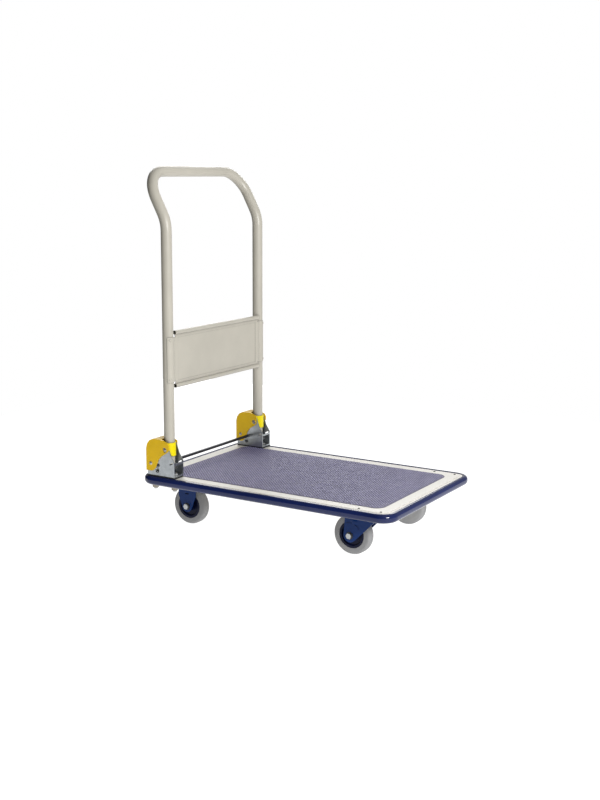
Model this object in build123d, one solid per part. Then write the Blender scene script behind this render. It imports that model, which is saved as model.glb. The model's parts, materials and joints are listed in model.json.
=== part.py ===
from build123d import *
import math
import os

# Folding platform cart, in millimetres. +X points forwards, away from the handle; +Y is the
# cart's left; +Z is up. The origin is on the floor under the middle of the deck.

# ---- overall sizes ----
DECK_LENGTH = 740.0
DECK_WIDTH = 480.0
WHEEL_RADIUS = 50.0
DECK_OVER_WHEEL = 35.0
DECK_TOP = 2 * WHEEL_RADIUS + DECK_OVER_WHEEL

# ---- clearances ----
RUNNING_GAP = 0.05
PIN_HOLE_GAP = 0.05
SLOT_GAP = 0.10
BOLT_HOLE_GAP = 0.30
SEAT_GAP = 0.05
FACE_GAP = 0.30
CLAMP_GAP = 0.02

# ---- bumper around the deck ----
BUMPER_WIDTH = 13.0
BUMPER_DEPTH = 23.0
BUMPER_RISE = 1.0
BUMPER_CORNER = 42.0
BUMPER_ROUND = 10.0
BUMPER_INNER_ROUND = 2.0
BUMPER_LIP = 6.0
BUMPER_LIP_THICK = 2.5

# ---- deck tray, mat and the members welded under it ----
SHEET = 2.0
DECK_CORNER = BUMPER_CORNER - BUMPER_WIDTH
RIM_WIDTH = 8.0
RIM_DROP = 1.0
MAT_INSET = 50.0
MAT_THICK = 2.0
MAT_CORNER = 25.0
MEMBER_WALL = 2.5
MEMBER_DEPTH = 10.0
FRONT_MEMBER_LENGTH = 132.0
FRONT_MEMBER_SHIFT = 14.0
REAR_MEMBER_LENGTH = 112.0
RIB_WIDTH = 44.0
RIB_Y = 70.0
RIB_DEPTH = 8.0

# ---- handle ----
TUBE_RADIUS = 14.0
TUBE_WALL = 1.5
HANDLE_BACK = 81.0
HANDLE_X = -DECK_LENGTH / 2 + HANDLE_BACK
HINGE_ROOM = 3.5
PAD_OFF_MAT = 1.5
BRACKET_HALF_GAP = TUBE_RADIUS + HINGE_ROOM
HANDLE_HALF_SPAN = DECK_WIDTH / 2 - MAT_INSET + PAD_OFF_MAT + BRACKET_HALF_GAP
HANDLE_RISE = 783.0
KICK_RISE = 659.0
KICK_BACK = 66.0
KICK_BEND = 92.0
CORNER_BEND = 74.0
PIVOT_RISE = 75.0
FOOT_BELOW_PIVOT = 38.0
PLUG_THICK = 2.0
PLUG_LENGTH = 12.0

# ---- sheet panel between the uprights ----
PANEL_SHEET = 1.5
PANEL_FORWARD = TUBE_RADIUS - 4.75
PANEL_LOW_RISE = 240.0
PANEL_HIGH_RISE = 378.0
BEAD_RADIUS = 5.5
BEAD_WALL = 1.4
TAB_CUT = 11.0
TAB_ANGLE_OUT = 62.0
TAB_ANGLE_IN = 49.0
RELIEF_RADIUS = 1.8
FRAME_WIDTH = 13.0
FRAME_STEP = 0.6
RIVET_ANGLE = 30.0
RIVET_EDGE = 7.0
RIVET_SHANK = 2.2
RIVET_HEAD = 3.6
DECK_RIVET_HEAD = 3.2

# ---- hinge bracket ----
BRACKET_SHEET = 2.5
BRACKET_REAR = 57.0
BRACKET_FRONT = 29.0
BRACKET_FOOT = 4.0
BRACKET_FRONT_RISE = 45.0
BRACKET_TOP_BACK = 36.0
BRACKET_TOP_FRONT = 8.0
BRACKET_TOP = 90.0
BRACKET_KNEE = (17.0, 63.0)
STRIP_LOW = 8.0
STRIP_MID_FROM = 36.5
STRIP_MID_TO = 40.5
HOOK_SLOT = ((15.5, 37.5), (23.5, 42.0))
HOOK_SLOT_RADIUS = 2.0
PAD_OVERHANG = 1.5
PIN_RADIUS = 3.8
PIN_HEAD_RADIUS = 4.8
PIN_HEAD = 2.2

# ---- yellow hinge cover and collar ----
COVER_WALL = 2.2
COVER_SCREW_BACK = 45.2
COVER_SCREW_RISE = 35.5
COVER_LOW = 15.5
COVER_FRONT = 14.5
COVER_INNER_FRONT = 9.0
COVER_OFF_BAR = 0.5
SCREW_HEAD_RADIUS = 4.6
SCREW_HEAD = 1.8
SCREW_SHANK = 2.0
COVER_PIN_WINDOW = 6.6
COLLAR_WALL = 2.8
COLLAR_LOW = 58.0
COLLAR_HIGH = 93.0
COLLAR_SLEEVE_LOW = 70.0
COLLAR_TONGUE = 8.0

# ---- release bar with its slots and springs ----
BAR_RADIUS = 4.0
BAR_BACK = 22.0
BAR_RISE = 32.0
BAR_TRAVEL = 15.0
BAR_TILT = 14.5
SLOT_LOBE = 2.0
SPRING_WIRE = 0.6
SPRING_COIL = 2.6
SPRING_TURNS = 9

# ---- bolts ----
M10_RADIUS = 5.0
M10_HEAD_FLATS = 16.0
M10_HEAD = 5.5
M8_RADIUS = 4.0
M8_FLATS = 13.0
M8_HEAD = 5.3
M8_NUT = 4.6
BRACKET_BOLT_OFFSETS = (-47.0, 15.0)
BACKING_DEPTH = 24.0
BACKING_WALL = 3.0
BACKING_OVERHANG = 8.0
M10_NUT = 7.0
BOLT_TIP = 4.0

# ---- casters ----
TYRE_WIDTH = 26.0
TYRE_SHOULDER = 7.0
TYRE_WEB_RADIUS = 15.5
TYRE_WEB_FROM = 9.0
TYRE_WEB_TO = 12.3
HUB_RADIUS = 0.68 * WHEEL_RADIUS
HUB_RIM = 6.0
HUB_WIDTH = 24.0
HUB_WEB = 13.0
BOSS_RADIUS = 13.0
BOSS_WIDTH = 37.0
SLEEVE_RADIUS = 6.0
FORK_SHEET = 3.0
FORK_GAP = 38.0
FIXED_AXLE_BACK = 107.0
SWIVEL_AXLE_FRONT = 143.5
CASTER_Y = DECK_WIDTH / 2 - 90.0
TRAIL = 37.5
PLATE_THICK = 3.0
PLATE_LENGTH = 92.0
PLATE_WIDTH = 76.0
PLATE_BOLT_X = 36.0
PLATE_BOLT_Y = 29.0
RACE_RADIUS = 31.0
RACE_INNER = 14.0
RACE_HEIGHT = 7.4
CROWN_RADIUS = 33.0
KINGPIN_RADIUS = 6.0
KINGPIN_HEAD_RADIUS = 11.0
KINGPIN_HEAD = 4.0
WASHER_RADIUS = 9.5
WASHER = 1.2
# The casters stand in these directions about their swivel axes: 0 trails towards the handle.
RIGHT_SWIVEL_TURN = 0.0
LEFT_SWIVEL_TURN = 0.0

# ---- places worked out from the sizes above ----
PIVOT_Z = DECK_TOP + PIVOT_RISE
BAR_X = HANDLE_X - BAR_BACK
BAR_Z = DECK_TOP + BAR_RISE
PLATE_TOP = DECK_TOP - SHEET - MEMBER_DEPTH
FIXED_AXLE_X = -DECK_LENGTH / 2 + FIXED_AXLE_BACK
SWIVEL_AXLE_X = DECK_LENGTH / 2 - SWIVEL_AXLE_FRONT
SWIVEL_X = SWIVEL_AXLE_X + TRAIL
FRONT_MEMBER_X = SWIVEL_X + FRONT_MEMBER_SHIFT
DECK_EDGE_X = DECK_LENGTH / 2 - BUMPER_WIDTH - FACE_GAP
DECK_EDGE_Y = DECK_WIDTH / 2 - BUMPER_WIDTH - FACE_GAP
SKIRT_BOTTOM = DECK_TOP + BUMPER_RISE - BUMPER_DEPTH + BUMPER_LIP_THICK + FACE_GAP
PLATE_INNER_Y = HANDLE_HALF_SPAN - BRACKET_HALF_GAP
PLATE_OUTER_Y = HANDLE_HALF_SPAN + BRACKET_HALF_GAP
BRACKET_MIN_Y = PLATE_INNER_Y - BRACKET_SHEET
BRACKET_MAX_Y = PLATE_OUTER_Y + BRACKET_SHEET
SIDES = (-1, 1)

parts = {}


def box_between(low, high):
    """A box from its lowest corner to its highest corner."""
    size = [h - l for l, h in zip(low, high)]
    middle = [(h + l) / 2 for l, h in zip(low, high)]
    return Pos(*middle) * Box(*size)


def rounded_slab(length, width, radius, bottom, top):
    """A slab with rounded corners, centred on the Z axis."""
    outline = RectangleRounded(length, width, radius)
    return Pos(0, 0, bottom) * extrude(outline, top - bottom)


def rod_y(radius, x, z, y_from, y_to):
    """A round rod along Y."""
    low = min(y_from, y_to)
    length = abs(y_to - y_from)
    return Pos(x, low + length / 2, z) * Rot(90, 0, 0) * Cylinder(radius, length)


def rod_z(radius, x, y, z_from, z_to):
    """A round rod along Z."""
    return Pos(x, y, (z_from + z_to) / 2) * Cylinder(radius, z_to - z_from)


def hexagon_z(flats, x, y, z_from, z_to):
    """A hexagon bar along Z, sized across its flats."""
    outline = RegularPolygon(flats / 2, 6, major_radius=False)
    return Pos(x, y, z_from) * extrude(outline, z_to - z_from)


def side_profile(points, y_from, y_to):
    """A flat outline given in X and Z, given thickness along Y."""
    face = make_face(Polyline(*[(x, 0, z) for x, z in points], close=True))
    low = min(y_from, y_to)
    return Pos(0, low, 0) * extrude(face, abs(y_to - y_from), dir=(0, 1, 0))


def filleted_path(points, radii):
    """A wire through the points, with an arc of the given radius at each inner corner."""
    corners = [Vector(*p) for p in points]
    edges = []
    start = corners[0]
    for corner, after, radius in zip(corners[1:-1], corners[2:], radii):
        going_in = (corner - start).normalized()
        going_out = (after - corner).normalized()
        turn = math.radians(going_in.get_angle(going_out))
        reach = radius * math.tan(turn / 2)
        arc_start = corner - going_in * reach
        arc_end = corner + going_out * reach
        edges.append(Edge.make_line(start, arc_start))
        edges.append(Edge.make_tangent_arc(arc_start, going_in, arc_end))
        start = arc_end
    edges.append(Edge.make_line(start, corners[-1]))
    return Wire(edges)


def both_sides(build):
    """The same piece built for the right side, y below 0, and for the left side."""
    return Compound(children=[solid for side in SIDES for solid in build(side).solids()])


def group(shapes):
    """Several separate solids as one node."""
    return Compound(children=[solid for shape in shapes for solid in shape.solids()])


# ---------------------------------------------------------------- deck and bumper
CASTER_CENTRES = (
    (SWIVEL_X, -CASTER_Y),
    (SWIVEL_X, CASTER_Y),
    (FIXED_AXLE_X, -CASTER_Y),
    (FIXED_AXLE_X, CASTER_Y),
)
BRACKET_BOLT_X = [HANDLE_X + offset for offset in BRACKET_BOLT_OFFSETS]
# Rivets hold the deck sheet to the front member, and to the rear member's ends.
DECK_RIVET_X = (SWIVEL_X + 8.0, SWIVEL_X + 67.0)
DECK_RIVET_Y = DECK_WIDTH / 2 - 29.0


def make_deck_plate():
    tray = rounded_slab(2 * DECK_EDGE_X, 2 * DECK_EDGE_Y, DECK_CORNER, SKIRT_BOTTOM, DECK_TOP)
    rim_cut = rounded_slab(
        2 * DECK_EDGE_X, 2 * DECK_EDGE_Y, DECK_CORNER, DECK_TOP - RIM_DROP, DECK_TOP
    ) - rounded_slab(
        2 * (DECK_EDGE_X - RIM_WIDTH),
        2 * (DECK_EDGE_Y - RIM_WIDTH),
        DECK_CORNER - RIM_WIDTH,
        DECK_TOP - RIM_DROP,
        DECK_TOP,
    )
    hollow = rounded_slab(
        2 * (DECK_EDGE_X - SHEET),
        2 * (DECK_EDGE_Y - SHEET),
        DECK_CORNER - SHEET,
        SKIRT_BOTTOM,
        DECK_TOP - SHEET,
    )
    deck = tray - rim_cut - hollow
    for side in SIDES:
        for x in BRACKET_BOLT_X:
            y = side * HANDLE_HALF_SPAN
            deck -= rod_z(M10_RADIUS + BOLT_HOLE_GAP, x, y, SKIRT_BOTTOM, DECK_TOP + 1)
        for x in DECK_RIVET_X:
            y = side * DECK_RIVET_Y
            deck -= rod_z(RIVET_SHANK + CLAMP_GAP, x, y, SKIRT_BOTTOM, DECK_TOP + 1)
    return deck


def make_member(x_centre, length, half_width, depth, rivets):
    """A flat box member under the deck sheet, open at both ends."""
    top = DECK_TOP - SHEET
    bottom = top - depth
    member = box_between(
        (x_centre - length / 2, -half_width, bottom), (x_centre + length / 2, half_width, top)
    )
    member -= box_between(
        (x_centre - length / 2 + MEMBER_WALL, -half_width - 1, bottom + MEMBER_WALL),
        (x_centre + length / 2 - MEMBER_WALL, half_width + 1, top - MEMBER_WALL),
    )
    for x, y in CASTER_CENTRES:
        if abs(x - x_centre) > length / 2:
            continue
        for bolt_x, bolt_y in caster_bolt_places(x, y):
            hole = M8_RADIUS + BOLT_HOLE_GAP
            member -= rod_z(hole, bolt_x, bolt_y, bottom - 1, bottom + MEMBER_WALL + 1)
        member -= rod_z(KINGPIN_HEAD_RADIUS, x, y, bottom - 1, bottom + MEMBER_WALL + 1)
    for x, y in rivets:
        member -= rod_z(RIVET_SHANK + CLAMP_GAP, x, y, top - MEMBER_WALL - 1, top + 1)
    inside = SHEET + FACE_GAP
    return member & rounded_slab(
        2 * (DECK_EDGE_X - inside), 2 * (DECK_EDGE_Y - inside), DECK_CORNER - inside, bottom, top
    )


def caster_bolt_places(x, y):
    return [
        (x + dx * PLATE_BOLT_X, y + dy * PLATE_BOLT_Y) for dx in (-1, 1) for dy in (-1, 1)
    ]


def make_ribs():
    """Two lengthwise box ribs between the cross members."""
    x_from = FIXED_AXLE_X + REAR_MEMBER_LENGTH / 2 + FACE_GAP
    x_to = FRONT_MEMBER_X - FRONT_MEMBER_LENGTH / 2 - FACE_GAP
    top = DECK_TOP - SHEET
    ribs = []
    for side in SIDES:
        y = side * RIB_Y
        rib = box_between(
            (x_from, y - RIB_WIDTH / 2, top - RIB_DEPTH), (x_to, y + RIB_WIDTH / 2, top)
        )
        rib -= box_between(
            (x_from - 1, y - RIB_WIDTH / 2 + SHEET, top - RIB_DEPTH + SHEET),
            (x_to + 1, y + RIB_WIDTH / 2 - SHEET, top - SHEET),
        )
        ribs.append(rib)
    return group(ribs)


def make_bumper():
    top = DECK_TOP + BUMPER_RISE
    bottom = top - BUMPER_DEPTH
    body = rounded_slab(DECK_LENGTH, DECK_WIDTH, BUMPER_CORNER, bottom, top)
    rims = body.edges().filter_by(lambda e: abs(e.center().Z - top) < 0.01)
    feet = body.edges().filter_by(lambda e: abs(e.center().Z - bottom) < 0.01)
    body = fillet(rims + feet, BUMPER_ROUND)
    inner_x = 2 * (DECK_EDGE_X + FACE_GAP)
    inner_y = 2 * (DECK_EDGE_Y + FACE_GAP)
    lip_top = bottom + BUMPER_LIP_THICK
    body -= rounded_slab(inner_x, inner_y, DECK_CORNER, lip_top, top)
    body -= rounded_slab(
        inner_x - 2 * BUMPER_LIP, inner_y - 2 * BUMPER_LIP, DECK_CORNER - BUMPER_LIP, bottom, top
    )
    inner_rim = (
        body.edges()
        .filter_by(lambda e: abs(e.center().Z - top) < 0.01)
        .sort_by(lambda e: abs(e.center().X) / DECK_LENGTH + abs(e.center().Y) / DECK_WIDTH)
    )
    inner_rim = [
        e
        for e in inner_rim
        if abs(e.center().X) <= inner_x / 2 + 0.01 and abs(e.center().Y) <= inner_y / 2 + 0.01
    ]
    return fillet(inner_rim, BUMPER_INNER_ROUND)


def make_mat():
    mat = rounded_slab(
        DECK_LENGTH - 2 * MAT_INSET,
        DECK_WIDTH - 2 * MAT_INSET,
        MAT_CORNER,
        DECK_TOP,
        DECK_TOP + MAT_THICK,
    )
    top_edges = mat.edges().filter_by(lambda e: abs(e.center().Z - DECK_TOP - MAT_THICK) < 0.01)
    return fillet(top_edges, MAT_THICK / 2)


def make_deck_rivets():
    rivets = []
    for side in SIDES:
        for x in DECK_RIVET_X:
            y = side * DECK_RIVET_Y
            shank = rod_z(RIVET_SHANK, x, y, DECK_TOP - SHEET - MEMBER_WALL - 2, DECK_TOP + 1)
            head = dome(DECK_RIVET_HEAD, 1.4)
            rivets.append(shank + Pos(x, y, DECK_TOP) * head)
    return group(rivets)


def dome(radius, height):
    """A low round head standing on the XY plane."""
    sphere_radius = (radius**2 + height**2) / (2 * height)
    ball = Pos(0, 0, height - sphere_radius) * Sphere(sphere_radius)
    keep = Pos(0, 0, height / 2) * Cylinder(radius + 1, height)
    return ball & keep


# ---------------------------------------------------------------- handle
def handle_path(foot_z):
    bar_x = HANDLE_X - KICK_BACK
    points = [
        (HANDLE_X, -HANDLE_HALF_SPAN, foot_z),
        (HANDLE_X, -HANDLE_HALF_SPAN, DECK_TOP + KICK_RISE),
        (bar_x, -HANDLE_HALF_SPAN, DECK_TOP + HANDLE_RISE),
        (bar_x, HANDLE_HALF_SPAN, DECK_TOP + HANDLE_RISE),
        (HANDLE_X, HANDLE_HALF_SPAN, DECK_TOP + KICK_RISE),
        (HANDLE_X, HANDLE_HALF_SPAN, foot_z),
    ]
    return filleted_path(points, [KICK_BEND, CORNER_BEND, CORNER_BEND, KICK_BEND])


def panel_rivet_places():
    """The upright's axis at each panel rivet, turned so that +X points out along the rivet."""
    places = []
    for side in SIDES:
        for z in (
            DECK_TOP + PANEL_LOW_RISE + TAB_CUT + RIVET_EDGE,
            DECK_TOP + PANEL_HIGH_RISE - TAB_CUT - RIVET_EDGE,
        ):
            axis = Pos(HANDLE_X, side * HANDLE_HALF_SPAN, z)
            places.append(axis * Rot(0, 0, side * RIVET_ANGLE))
    return places


def make_handle_tube():
    foot_z = PIVOT_Z - FOOT_BELOW_PIVOT
    section = Circle(TUBE_RADIUS) - Circle(TUBE_RADIUS - TUBE_WALL)
    start = Pos(HANDLE_X, -HANDLE_HALF_SPAN, foot_z)
    tube = sweep(start * section, path=handle_path(foot_z))
    hole = PIN_RADIUS + PIN_HOLE_GAP
    reach = HANDLE_HALF_SPAN + TUBE_RADIUS + 1
    tube -= rod_y(hole, HANDLE_X, PIVOT_Z, -reach, reach)
    for place in panel_rivet_places():
        drill = Rot(0, 90, 0) * Cylinder(RIVET_SHANK + CLAMP_GAP, TUBE_RADIUS)
        tube -= place * Pos(TUBE_RADIUS, 0, 0) * drill
    return tube


def make_tube_plugs():
    def plug(side):
        foot_z = PIVOT_Z - FOOT_BELOW_PIVOT
        y = side * HANDLE_HALF_SPAN
        cap = rod_z(TUBE_RADIUS, HANDLE_X, y, foot_z - PLUG_THICK, foot_z)
        inner = TUBE_RADIUS - TUBE_WALL - SEAT_GAP
        return cap + rod_z(inner, HANDLE_X, y, foot_z - PLUG_THICK, foot_z + PLUG_LENGTH)

    return both_sides(plug)


def make_handle_panel():
    """A flat sheet with a rolled bead along each long edge and a tab round each upright."""
    low = DECK_TOP + PANEL_LOW_RISE
    high = DECK_TOP + PANEL_HIGH_RISE
    back = HANDLE_X + PANEL_FORWARD
    flat_y = HANDLE_HALF_SPAN - 0.7 * TUBE_RADIUS
    inner_y = HANDLE_HALF_SPAN - TUBE_RADIUS - 1.0
    slope_y = inner_y - 3.0
    outline = [
        (-flat_y, low + TAB_CUT),
        (-inner_y, low + TAB_CUT),
        (-slope_y, low),
        (slope_y, low),
        (inner_y, low + TAB_CUT),
        (flat_y, low + TAB_CUT),
        (flat_y, high - TAB_CUT),
        (inner_y, high - TAB_CUT),
        (slope_y, high),
        (-slope_y, high),
        (-inner_y, high - TAB_CUT),
        (-flat_y, high - TAB_CUT),
    ]
    face = make_face(Polyline(*[(back, y, z) for y, z in outline], close=True))
    panel = extrude(face, PANEL_SHEET, dir=(1, 0, 0))
    # The field inside a plain border is pressed back a little.
    panel -= box_between(
        (back + PANEL_SHEET - FRAME_STEP, -inner_y + FRAME_WIDTH, low + FRAME_WIDTH),
        (back + PANEL_SHEET + 1, inner_y - FRAME_WIDTH, high - FRAME_WIDTH),
    )
    bead_x = back + PANEL_SHEET / 2
    for z in (low, high):
        bead = rod_y(BEAD_RADIUS, bead_x, z, -inner_y, inner_y)
        panel -= bead
        panel += bead - rod_y(BEAD_RADIUS - BEAD_WALL, bead_x, z, -inner_y - 1, inner_y + 1)
    for side in SIDES:
        y = side * HANDLE_HALF_SPAN
        panel -= rod_z(TUBE_RADIUS + SEAT_GAP, HANDLE_X, y, low, high)
        panel += make_tab_wrap(side, low + TAB_CUT, high - TAB_CUT)
        for z in (low + TAB_CUT, high - TAB_CUT):
            relief = Rot(0, 90, 0) * Cylinder(RELIEF_RADIUS, 8)
            panel -= Pos(bead_x, side * inner_y, z) * relief
    for place in panel_rivet_places():
        drill = Rot(0, 90, 0) * Cylinder(RIVET_SHANK + CLAMP_GAP, 8)
        panel -= place * Pos(TUBE_RADIUS, 0, 0) * drill
    return panel


def make_tab_wrap(side, low, high):
    """The end of the panel, bent round the front of an upright."""
    inner = TUBE_RADIUS + SEAT_GAP
    outer = inner + PANEL_SHEET
    y = side * HANDLE_HALF_SPAN
    ring = rod_z(outer, HANDLE_X, y, low, high) - rod_z(inner, HANDLE_X, y, low - 1, high + 1)
    middle = (TAB_ANGLE_OUT - TAB_ANGLE_IN) / 2
    sector = [(HANDLE_X, y, low)]
    for angle in (TAB_ANGLE_OUT, middle, -TAB_ANGLE_IN):
        turn = math.radians(angle)
        reach = 2 * outer
        sector.append((HANDLE_X + reach * math.cos(turn), y + side * reach * math.sin(turn), low))
    face = make_face(Polyline(*sector, close=True))
    return ring & extrude(face, high - low, dir=(0, 0, 1))


def make_panel_rivets():
    rivets = []
    front = TUBE_RADIUS + SEAT_GAP + PANEL_SHEET
    back = TUBE_RADIUS - TUBE_WALL - 1.5
    for place in panel_rivet_places():
        length = front + 0.5 - back
        shank = Pos(back + length / 2, 0, 0) * Rot(0, 90, 0) * Cylinder(RIVET_SHANK, length)
        head = Pos(front, 0, 0) * Rot(0, 90, 0) * dome(RIVET_HEAD, 1.4)
        rivets.append(place * (shank + head))
    return group(rivets)


def make_collars():
    """A plastic collar on each upright, with a tapering tongue down its front."""

    def collar(side):
        y = side * HANDLE_HALF_SPAN
        outer = TUBE_RADIUS + COLLAR_WALL
        low = DECK_TOP + COLLAR_LOW
        high = DECK_TOP + COLLAR_HIGH
        ring = rod_z(outer, HANDLE_X, y, low, high)
        ring -= rod_z(TUBE_RADIUS + SEAT_GAP, HANDLE_X, y, low - 1, high + 1)
        outline = [
            (y - outer, high),
            (y - outer, DECK_TOP + COLLAR_SLEEVE_LOW + 6),
            (y - COLLAR_TONGUE, low),
            (y + COLLAR_TONGUE, low),
            (y + outer, DECK_TOP + COLLAR_SLEEVE_LOW + 6),
            (y + outer, high),
        ]
        face = make_face(Polyline(*[(HANDLE_X - outer, a, b) for a, b in outline], close=True))
        kept = extrude(face, 2 * outer, dir=(1, 0, 0))
        ring = ring & kept
        hole = PIN_HEAD_RADIUS + 1.0
        ring -= rod_y(hole, HANDLE_X, PIVOT_Z, y - outer - 1, y + outer + 1)
        return ring

    return both_sides(collar)


# ---------------------------------------------------------------- hinge brackets
def bar_end_of_travel():
    tilt = math.radians(BAR_TILT)
    return BAR_X - BAR_TRAVEL * math.sin(tilt), BAR_Z - BAR_TRAVEL * math.cos(tilt)


def slot_cut(y_from, y_to):
    """The oblique slot that the release bar slides in."""
    radius = BAR_RADIUS + SLOT_GAP
    end_x, end_z = bar_end_of_travel()
    tilt = math.radians(BAR_TILT)
    side_x = radius * math.cos(tilt)
    side_z = -radius * math.sin(tilt)
    middle = side_profile(
        [
            (BAR_X + side_x, BAR_Z + side_z),
            (BAR_X - side_x, BAR_Z - side_z),
            (end_x - side_x, end_z - side_z),
            (end_x + side_x, end_z + side_z),
        ],
        y_from,
        y_to,
    )
    upper = rod_y(radius, BAR_X, BAR_Z, y_from, y_to)
    lower = rod_y(radius + SLOT_LOBE, end_x, end_z, y_from, y_to)
    return middle + upper + lower


def bracket_outline():
    foot = DECK_TOP + BRACKET_FOOT
    rear = HANDLE_X - BRACKET_REAR
    front = HANDLE_X + BRACKET_FRONT
    return [
        (rear, foot),
        (front, foot),
        (front, DECK_TOP + BRACKET_FRONT_RISE),
        (HANDLE_X + BRACKET_KNEE[0], DECK_TOP + BRACKET_KNEE[1]),
        (HANDLE_X + BRACKET_TOP_FRONT, DECK_TOP + BRACKET_TOP),
        (HANDLE_X - BRACKET_TOP_BACK, DECK_TOP + BRACKET_TOP),
        (rear, DECK_TOP + BRACKET_TOP - 24.0),
    ]


def make_bracket(side):
    low_y = min(side * BRACKET_MIN_Y, side * BRACKET_MAX_Y)
    high_y = max(side * BRACKET_MIN_Y, side * BRACKET_MAX_Y)
    foot = DECK_TOP + BRACKET_FOOT
    bracket = side_profile(bracket_outline(), low_y, high_y)
    room = box_between(
        (HANDLE_X - BRACKET_REAR - 1, low_y + BRACKET_SHEET, foot + BRACKET_SHEET),
        (HANDLE_X + BRACKET_FRONT - BRACKET_SHEET, high_y - BRACKET_SHEET, PIVOT_Z + 60),
    )
    window = box_between(
        (HANDLE_X, low_y + BRACKET_SHEET, DECK_TOP + STRIP_LOW),
        (HANDLE_X + BRACKET_FRONT + 1, high_y - BRACKET_SHEET, DECK_TOP + STRIP_MID_FROM),
    )
    above = box_between(
        (HANDLE_X, low_y + BRACKET_SHEET, DECK_TOP + STRIP_MID_TO),
        (HANDLE_X + BRACKET_FRONT + 1, high_y - BRACKET_SHEET, PIVOT_Z + 60),
    )
    bracket = bracket - room - window - above
    bracket -= slot_cut(low_y - 1, high_y + 1)
    pin_hole = PIN_RADIUS + CLAMP_GAP
    bracket -= rod_y(pin_hole, HANDLE_X, PIVOT_Z, low_y - 1, high_y + 1)
    (hook_x1, hook_z1), (hook_x2, hook_z2) = HOOK_SLOT
    for step in range(7):
        share = step / 6
        hook_x = HANDLE_X + hook_x1 + share * (hook_x2 - hook_x1)
        hook_z = DECK_TOP + hook_z1 + share * (hook_z2 - hook_z1)
        bracket -= rod_y(HOOK_SLOT_RADIUS, hook_x, hook_z, low_y - 1, high_y + 1)
    screw_x = HANDLE_X - COVER_SCREW_BACK
    screw_z = DECK_TOP + COVER_SCREW_RISE
    bracket -= rod_y(SCREW_SHANK + CLAMP_GAP, screw_x, screw_z, low_y - 1, high_y + 1)
    for x in BRACKET_BOLT_X:
        y = side * HANDLE_HALF_SPAN
        bracket -= rod_z(M10_RADIUS + BOLT_HOLE_GAP, x, y, foot - 1, foot + BRACKET_SHEET + 1)
    return bracket


def make_hinge_pads():
    """The dark packing under each bracket; its upper layer reaches out over the bumper."""

    def pad(side):
        y_in = side * (HANDLE_HALF_SPAN - BRACKET_HALF_GAP)
        y_out = side * (BRACKET_MAX_Y + PAD_OVERHANG)
        x_from = HANDLE_X - BRACKET_REAR - PAD_OVERHANG
        x_to = HANDLE_X + BRACKET_FRONT
        top = DECK_TOP + BRACKET_FOOT
        over_bumper = DECK_TOP + BUMPER_RISE + FACE_GAP
        strip = box_between((x_from, min(y_in, y_out), DECK_TOP), (x_to, max(y_in, y_out), top))
        lower = strip & rounded_slab(
            2 * DECK_EDGE_X, 2 * DECK_EDGE_Y, DECK_CORNER, DECK_TOP, over_bumper
        )
        upper = strip & rounded_slab(
            DECK_LENGTH, DECK_WIDTH, BUMPER_CORNER, over_bumper, top
        )
        packing = lower + upper
        for x in BRACKET_BOLT_X:
            hole = M10_RADIUS + BOLT_HOLE_GAP
            packing -= rod_z(hole, x, side * HANDLE_HALF_SPAN, DECK_TOP - 1, top + 1)
        return packing

    return both_sides(pad)


def make_hinge_backings():
    """A short channel under the deck sheet that the bracket bolts pull against."""

    def backing(side):
        y = side * HANDLE_HALF_SPAN
        half = BRACKET_HALF_GAP - 6.0
        top = DECK_TOP - SHEET
        x_from = BRACKET_BOLT_X[0] - M10_RADIUS - BACKING_OVERHANG
        x_to = BRACKET_BOLT_X[1] + M10_RADIUS + BACKING_OVERHANG
        channel = box_between((x_from, y - half, top - BACKING_DEPTH), (x_to, y + half, top))
        channel -= box_between(
            (x_from - 1, y - half + BACKING_WALL, top - BACKING_DEPTH + BACKING_WALL),
            (x_to + 1, y + half - BACKING_WALL, top + 1),
        )
        for x in BRACKET_BOLT_X:
            hole = M10_RADIUS + BOLT_HOLE_GAP
            channel -= rod_z(hole, x, y, top - BACKING_DEPTH - 1, top)
        return channel & rounded_slab(
            2 * (DECK_EDGE_X - BUMPER_LIP),
            2 * (DECK_EDGE_Y - BUMPER_LIP),
            DECK_CORNER - BUMPER_LIP,
            top - BACKING_DEPTH,
            top,
        )

    return both_sides(backing)


def make_bracket_bolts():
    bolts = []
    seat = DECK_TOP + BRACKET_FOOT + BRACKET_SHEET
    tip = DECK_TOP - SHEET - BACKING_DEPTH - M10_NUT - BOLT_TIP
    for side in SIDES:
        for x in BRACKET_BOLT_X:
            y = side * HANDLE_HALF_SPAN
            head = hexagon_z(M10_HEAD_FLATS, x, y, seat, seat + M10_HEAD)
            bolts.append(head + rod_z(M10_RADIUS, x, y, tip, seat))
    return group(bolts)


def make_bracket_nuts():
    nuts = []
    top = DECK_TOP - SHEET - BACKING_DEPTH
    for side in SIDES:
        for x in BRACKET_BOLT_X:
            y = side * HANDLE_HALF_SPAN
            nut = hexagon_z(M10_HEAD_FLATS, x, y, top - M10_NUT, top)
            nut -= rod_z(M10_RADIUS + CLAMP_GAP, x, y, top - M10_NUT - 1, top + 1)
            nuts.append(nut)
    return group(nuts)


def make_pivot_pins():
    """Each pin is riveted over on the outside of both bracket plates."""

    def pin(side):
        pin = rod_y(
            PIN_RADIUS, HANDLE_X, PIVOT_Z, side * (BRACKET_MIN_Y - 0.5), side * (BRACKET_MAX_Y + 0.5)
        )
        for plate_y, out in ((BRACKET_MIN_Y, -side), (BRACKET_MAX_Y, side)):
            turn = Rot(-90 * out, 0, 0)
            head = Pos(HANDLE_X, side * plate_y, PIVOT_Z) * turn
            pin += head * dome(PIN_HEAD_RADIUS, PIN_HEAD)
        return pin

    return both_sides(pin)


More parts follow.
